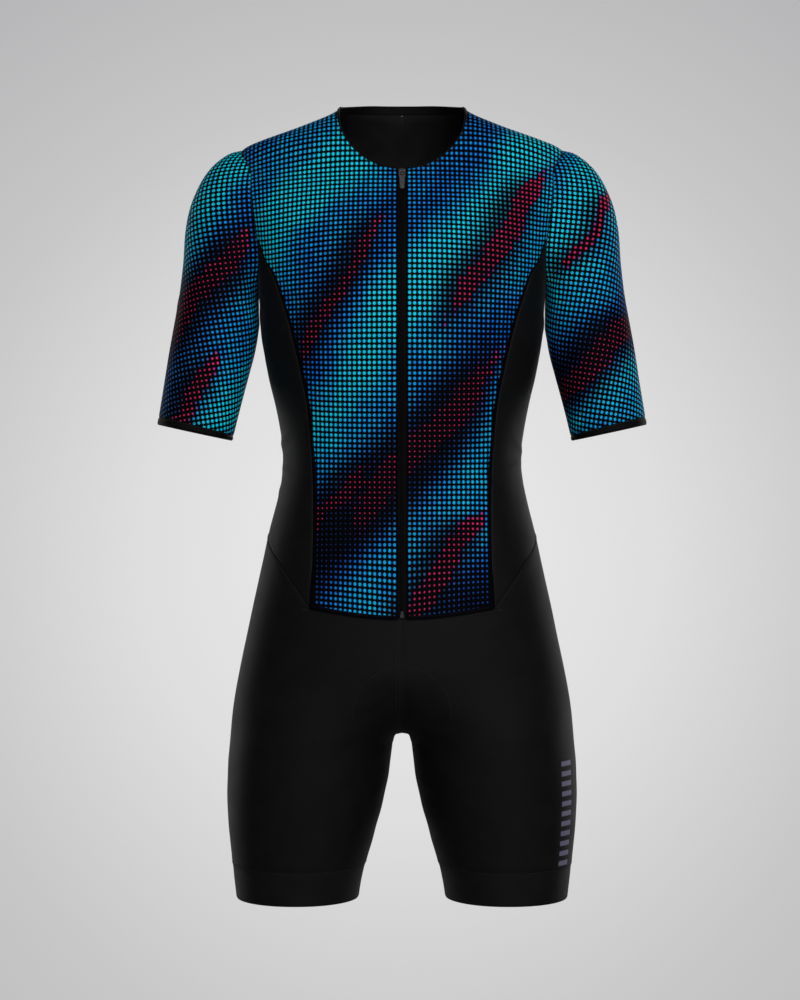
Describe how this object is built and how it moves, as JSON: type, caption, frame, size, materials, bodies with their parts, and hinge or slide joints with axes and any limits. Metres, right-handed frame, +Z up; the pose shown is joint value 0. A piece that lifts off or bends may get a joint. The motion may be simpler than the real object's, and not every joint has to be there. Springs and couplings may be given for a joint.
{
  "type": "triathlon suit",
  "caption": "Short-sleeved one-piece triathlon suit with a full front zip, dotted print top, black side panels and black shorts with gripper bands, filled out as worn.",
  "frame": {"origin": "where the shoulders carry the suit: on the middle plane, level with the sides of the neck opening", "axes": "+Z up, the front faces -Y, the wearer's left is +X"},
  "size_m": [0.5454, 0.2456, 0.8944],
  "materials": {
    "printed_knit": "smooth warp knit with a square grid of printed dots",
    "black_knit": "smooth stretch knit with a soft sheen",
    "binding": "matt elastic binding",
    "zip_tape": "woven tape with a nylon coil",
    "zip_metal": "dark gunmetal coating"
  },
  "bodies": {
    "suit": {"front_panel_left": "printed_knit", "front_panel_right": "printed_knit", "side_panel_left": "black_knit", "side_panel_right": "black_knit", "back_panel": "printed_knit", "sleeve_left": "printed_knit", "sleeve_right": "printed_knit", "sleeve_hem_left": "binding", "sleeve_hem_right": "binding", "leg_left": "black_knit", "leg_right": "black_knit", "leg_gripper_left": "black_knit", "leg_gripper_right": "black_knit", "collar_binding": "binding", "zip_tape_left": "zip_tape", "zip_tape_right": "zip_tape", "zip_chain": "zip_tape", "zip_end_stop": "zip_metal", "zip_slider": "zip_metal"},
    "pull_tab": {"zip_pull": "zip_metal"}
  },
  "joints": [
    {"name": "pull_tab_hinge", "type": "hinge", "parent": "suit", "child": "pull_tab", "pos_m": [0, -0.06915, -0.07752], "axis": [-1, 0, 0], "range_deg": [0, 160]}
  ]
}
